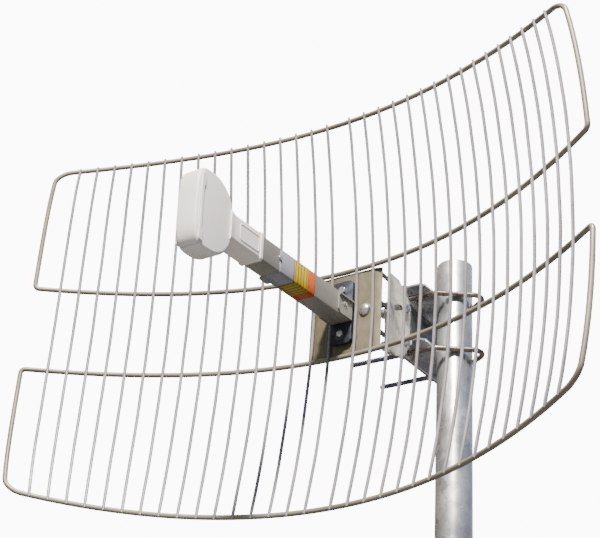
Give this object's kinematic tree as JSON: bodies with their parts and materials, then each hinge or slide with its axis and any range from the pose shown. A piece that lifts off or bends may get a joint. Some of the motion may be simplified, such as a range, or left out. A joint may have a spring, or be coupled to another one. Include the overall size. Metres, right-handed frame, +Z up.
{
  "type": "grid parabolic satellite dish antenna",
  "caption": "Wire-grid parabolic reflector dish with a front feed on a boom, on a tilting bracket clamped to the side of an upright mast by U-bolts.",
  "frame": {"origin": "centre of the mast's flat lower end", "axes": "+Z up the mast, -Y the way the dish looks, +X to the right of the dish seen from the front"},
  "size_m": [0.9152, 0.6095, 0.7618],
  "materials": {
    "wire": "light grey coated steel wire",
    "galvanised": "dull mottled galvanised steel",
    "bright_zinc": "bright zinc plate",
    "dark_zinc": "dull zinc plate",
    "beige_paint": "satin beige coating",
    "grey_paint": "satin warm grey paint",
    "black_paint": "satin black coating",
    "white_plastic": "off-white moulded plastic",
    "board": "circuit board",
    "copper": "bare copper"
  },
  "bodies": {
    "mast": {"mast": "galvanised"},
    "mount": {"mast_arm": "galvanised", "clamp_saddle_upper": "galvanised", "u_bolt_upper": "dark_zinc", "u_bolt_washer_upper_front": "bright_zinc", "u_bolt_nut_upper_front": "bright_zinc", "u_bolt_washer_upper_rear": "bright_zinc", "u_bolt_nut_upper_rear": "bright_zinc", "clamp_saddle_lower": "galvanised", "u_bolt_lower": "dark_zinc", "u_bolt_washer_lower_front": "bright_zinc", "u_bolt_nut_lower_front": "bright_zinc", "u_bolt_washer_lower_rear": "bright_zinc", "u_bolt_nut_lower_rear": "bright_zinc", "lock_bolt": "bright_zinc", "lock_washer_right": "bright_zinc", "lock_washer_left": "bright_zinc", "lock_nut": "bright_zinc", "lock_spacer": "galvanised"},
    "dish": {"reflector_grid": "wire", "back_plate": "beige_paint", "boom_foot": "black_paint", "boom_clip": "grey_paint", "foot_bolt_upper": "bright_zinc", "foot_bolt_lower": "bright_zinc", "foot_nut_upper": "bright_zinc", "foot_nut_lower": "bright_zinc", "boom_housing": "grey_paint", "boom_screw_left": "bright_zinc", "boom_screw_right": "bright_zinc", "housing_screw": "bright_zinc", "feed_rear_shell": "white_plastic", "feed_board": "board", "feed_dipole": "copper", "tilt_bracket": "galvanised", "pivot_bolt": "bright_zinc", "pivot_washer_right": "bright_zinc", "pivot_washer_left": "bright_zinc", "pivot_nut": "bright_zinc", "pivot_spacer": "galvanised", "main_bolt": "bright_zinc", "main_bolt_nut": "bright_zinc"},
    "feed_cover": {"feed_front_cover": "white_plastic"}
  },
  "joints": [
    {"name": "azimuth", "type": "hinge", "parent": "mast", "child": "mount", "pos_m": [0, 0, 0.5], "axis": [0, 0, 1], "continuous": true},
    {"name": "elevation", "type": "hinge", "parent": "mount", "child": "dish", "pos_m": [-0.0485, -0.097, 0.43], "axis": [-1, 0, 0], "range_deg": [0, 30]},
    {"name": "feed_cover_off", "type": "slide", "parent": "dish", "child": "feed_cover", "axis": [0, -0.9991, -0.0419], "range_m": [0, 0.08]}
  ]
}
